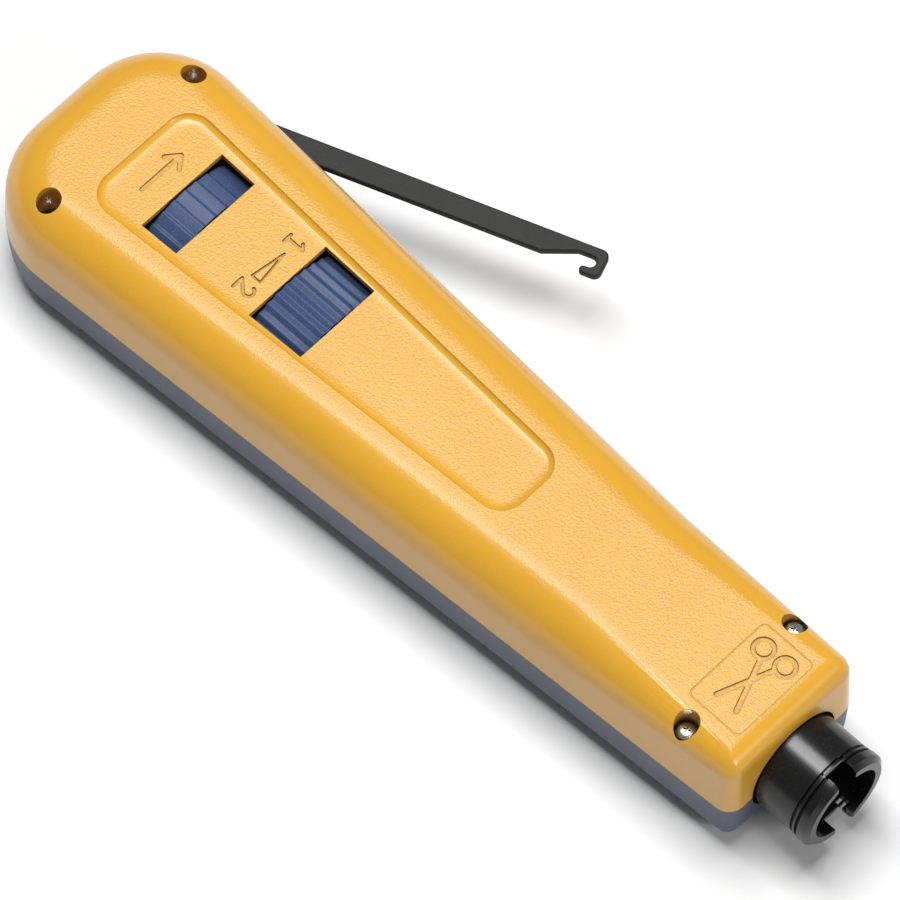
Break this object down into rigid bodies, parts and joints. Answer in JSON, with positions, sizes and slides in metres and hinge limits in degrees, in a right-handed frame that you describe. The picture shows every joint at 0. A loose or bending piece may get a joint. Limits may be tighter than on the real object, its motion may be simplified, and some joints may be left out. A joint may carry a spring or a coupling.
{
  "type": "punch down tool",
  "caption": "Impact punch-down hand tool with a two-part handle, bayonet blade socket, rotary impact and release thumb pieces, spring hammer, and folding hook and spudger blades.",
  "frame": {"origin": "centre of the blade socket's mouth, on the tool axis", "axes": "+X out of the socket's mouth along the tool, +Z towards the front shell with the thumb pieces, +Y towards the side with the folding blades"},
  "size_m": [0.174, 0.0657, 0.0271],
  "materials": {
    "front_plastic": "moulded, fine leather grain on the top face",
    "rear_plastic": "moulded, fine grain",
    "thumb_plastic": "moulded, satin",
    "black_plastic": "moulded",
    "black_socket": "black oxide, oiled",
    "blade_black": "black oxide, satin",
    "screw_steel": "bright zinc",
    "ground_steel": "ground",
    "spring_steel": "drawn wire",
    "brass_parts": "turned",
    "rubber_ring": "moulded"
  },
  "bodies": {
    "handle": {"front_shell": "front_plastic", "rear_shell": "rear_plastic", "nose_screws": "screw_steel", "butt_screws": "screw_steel", "nose_bearing": "brass_parts", "bumper_ring": "rubber_ring", "guide_tube": "ground_steel", "tube_plug": "black_plastic", "blade_pivot": "brass_parts", "pivot_washers": "ground_steel", "detent_spring": "spring_steel", "release_spring": "spring_steel"},
    "plunger": {"blade_socket": "black_socket", "socket_clip": "spring_steel", "plunger_rod": "ground_steel", "rod_pin": "ground_steel", "return_spring": "spring_steel"},
    "blade_lock": {"lock_ring": "brass_parts"},
    "striker": {"hammer": "ground_steel", "drive_spring": "spring_steel"},
    "trip_plate": {"hammer_latch": "brass_parts", "latch_spring": "spring_steel"},
    "preload_seat": {"spring_seat": "brass_parts"},
    "selector": {"impact_selector": "thumb_plastic"},
    "release": {"release_ring": "thumb_plastic", "release_bar": "ground_steel"},
    "hook": {"hook_blade": "blade_black"},
    "spudger": {"spudger_blade": "blade_black"}
  },
  "joints": [
    {"name": "plunger_slide", "type": "slide", "parent": "handle", "child": "plunger", "axis": [-1, 0, 0], "range_m": [0, 0.01], "stiffness_N_per_m": 900, "springref_m": -0.008, "deforming": ["return_spring"]},
    {"name": "lock_turn", "type": "hinge", "parent": "plunger", "child": "blade_lock", "pos_m": [-0.0312, 0, 0], "axis": [1, 0, 0], "range_deg": [-14, 0]},
    {"name": "hammer_slide", "type": "slide", "parent": "handle", "child": "striker", "axis": [-1, 0, 0], "range_m": [0, 0.01], "stiffness_N_per_m": 1500, "springref_m": -0.01, "deforming": ["drive_spring"]},
    {"name": "latch_shift", "type": "slide", "parent": "striker", "child": "trip_plate", "axis": [0, 0, 1], "range_m": [0, 0.0012], "stiffness_N_per_m": 300, "springref_m": -0.001, "deforming": ["latch_spring"]},
    {"name": "impact_turn", "type": "hinge", "parent": "handle", "child": "selector", "pos_m": [-0.1167, 0, 0], "axis": [1, 0, 0], "range_deg": [-18, 0]},
    {"name": "seat_slide", "type": "slide", "parent": "handle", "child": "preload_seat", "axis": [-1, 0, 0], "range_m": [0, 0.0015]},
    {"name": "release_turn", "type": "hinge", "parent": "handle", "child": "release", "pos_m": [-0.1422, 0, 0], "axis": [1, 0, 0], "range_deg": [-14, 0], "stiffness_Nm_per_rad": 0.05, "springref_deg": 11.46, "deforming": ["release_spring"]},
    {"name": "hook_swing", "type": "hinge", "parent": "handle", "child": "hook", "pos_m": [-0.1597, 0.0163, 0], "axis": [0, 0, 1], "range_deg": [-21.7, 158.3]},
    {"name": "spudger_swing", "type": "hinge", "parent": "handle", "child": "spudger", "pos_m": [-0.1597, 0.0163, 0], "axis": [0, 0, 1], "range_deg": [0, 180]}
  ],
  "couplings": [
    {"joint": "lock_turn", "follows": "release_turn", "ratio": 1},
    {"joint": "hammer_slide", "follows": "plunger_slide", "ratio": 1},
    {"joint": "seat_slide", "follows": "impact_turn", "m_per_rad": -0.00477}
  ]
}
